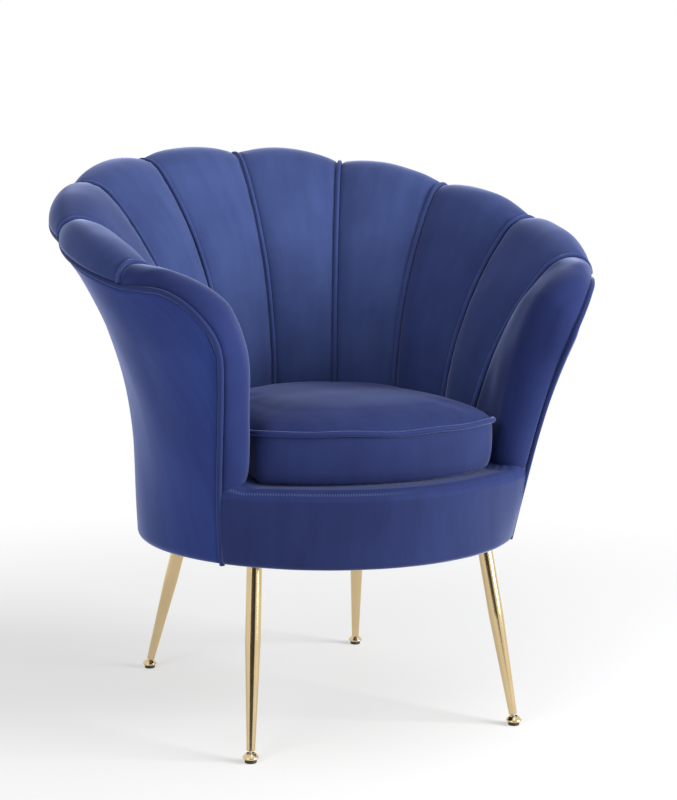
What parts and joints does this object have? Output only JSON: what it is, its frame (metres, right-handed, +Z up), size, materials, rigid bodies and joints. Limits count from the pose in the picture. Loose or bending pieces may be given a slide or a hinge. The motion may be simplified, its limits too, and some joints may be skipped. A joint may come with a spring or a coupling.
{
  "type": "barrel chair",
  "caption": "Tub chair with a scalloped, channelled shell back and wrapped arms, a loose round seat cushion and splayed tapered metal legs on levelling glides.",
  "frame": {"origin": "on the floor, under the middle of the chair's width and depth", "axes": "+Z up, front towards -Y, +X to the chair's left as a sitter faces forwards"},
  "size_m": [0.7508, 0.6362, 0.7914],
  "materials": {
    "velvet": "short-pile velvet, navy",
    "velvet_welt": "velvet over cord, navy",
    "gold": "polished gold plating",
    "glide_pad": "black moulded pad",
    "frame_wood": "plain plywood and timber",
    "black_cloth": "black non-woven cloth and elastic webbing",
    "deck_cloth": "plain dark blue cloth",
    "foam": "open-cell foam",
    "steel": "zinc-plated steel",
    "zip_teeth": "dark blue moulded coil",
    "zip_metal": "dark blue enamel"
  },
  "bodies": {
    "chair": {"petal_01": "velvet", "petal_02": "velvet", "petal_03": "velvet", "petal_04": "velvet", "petal_05": "velvet", "petal_06": "velvet", "petal_07": "velvet", "petal_08": "velvet", "petal_09": "velvet", "petal_10": "velvet", "seam_piping_1": "velvet_welt", "seam_piping_2": "velvet_welt", "seam_piping_3": "velvet_welt", "seam_piping_4": "velvet_welt", "seam_piping_5": "velvet_welt", "seam_piping_6": "velvet_welt", "seam_piping_7": "velvet_welt", "seam_piping_8": "velvet_welt", "seam_piping_9": "velvet_welt", "edge_piping": "velvet_welt", "outer_back_cover": "velvet", "front_rail_cover": "velvet", "front_rail": "frame_wood", "base_ring": "frame_wood", "seat_ring": "frame_wood", "back_ribs": "frame_wood", "rim_rails": "frame_wood", "arm_post_left": "frame_wood", "arm_post_right": "frame_wood", "seat_webbing": "black_cloth", "deck_foam": "foam", "deck_cloth": "deck_cloth", "dust_cover": "black_cloth", "leg_screws": "steel", "insert_nuts": "steel", "leg_front_right": "gold", "leg_front_left": "gold", "leg_back_right": "gold", "leg_back_left": "gold"},
    "cushion": {"cushion_cover": "velvet", "cushion_core": "foam", "cushion_piping": "velvet_welt", "zip_chain": "zip_teeth"},
    "zip_pull": {"zip_slider": "zip_metal"},
    "stem_front_right": {"glide_stem_front_right": "steel"},
    "foot_front_right": {"glide_foot_front_right": "gold", "glide_pad_front_right": "glide_pad"},
    "stem_front_left": {"glide_stem_front_left": "steel"},
    "foot_front_left": {"glide_foot_front_left": "gold", "glide_pad_front_left": "glide_pad"},
    "stem_back_right": {"glide_stem_back_right": "steel"},
    "foot_back_right": {"glide_foot_back_right": "gold", "glide_pad_back_right": "glide_pad"},
    "stem_back_left": {"glide_stem_back_left": "steel"},
    "foot_back_left": {"glide_foot_back_left": "gold", "glide_pad_back_left": "glide_pad"}
  },
  "joints": [
    {"name": "cushion_lift", "type": "slide", "parent": "chair", "child": "cushion", "axis": [0, 0, 1], "range_m": [0, 0.45]},
    {"name": "zip_run", "type": "hinge", "parent": "cushion", "child": "zip_pull", "pos_m": [0, -0.0541, 0.385], "axis": [0, 0, -1], "range_deg": [0, 88]},
    {"name": "glide_screw_front_right", "type": "slide", "parent": "chair", "child": "stem_front_right", "axis": [0.1007, -0.1934, -0.9759], "range_m": [0, 0.008]},
    {"name": "glide_tilt_front_right", "type": "hinge", "parent": "stem_front_right", "child": "foot_front_right", "pos_m": [0.194, -0.2531, 0.0088], "axis": [-0.8869, -0.4619, 0], "range_deg": [-8, 8]},
    {"name": "glide_screw_front_left", "type": "slide", "parent": "chair", "child": "stem_front_left", "axis": [-0.1007, -0.1934, -0.9759], "range_m": [0, 0.008]},
    {"name": "glide_tilt_front_left", "type": "hinge", "parent": "stem_front_left", "child": "foot_front_left", "pos_m": [-0.194, -0.2531, 0.0088], "axis": [-0.8869, 0.4619, 0], "range_deg": [-8, 8]},
    {"name": "glide_screw_back_right", "type": "slide", "parent": "chair", "child": "stem_back_right", "axis": [0.1359, 0.3107, -0.9407], "range_m": [0, 0.008]},
    {"name": "glide_tilt_back_right", "type": "hinge", "parent": "stem_back_right", "child": "foot_back_right", "pos_m": [0.174, 0.2159, 0.0088], "axis": [0.9162, -0.4008, 0], "range_deg": [-8, 8]},
    {"name": "glide_screw_back_left", "type": "slide", "parent": "chair", "child": "stem_back_left", "axis": [-0.1359, 0.3107, -0.9407], "range_m": [0, 0.008]},
    {"name": "glide_tilt_back_left", "type": "hinge", "parent": "stem_back_left", "child": "foot_back_left", "pos_m": [-0.174, 0.2159, 0.0088], "axis": [0.9162, 0.4008, 0], "range_deg": [-8, 8]}
  ]
}
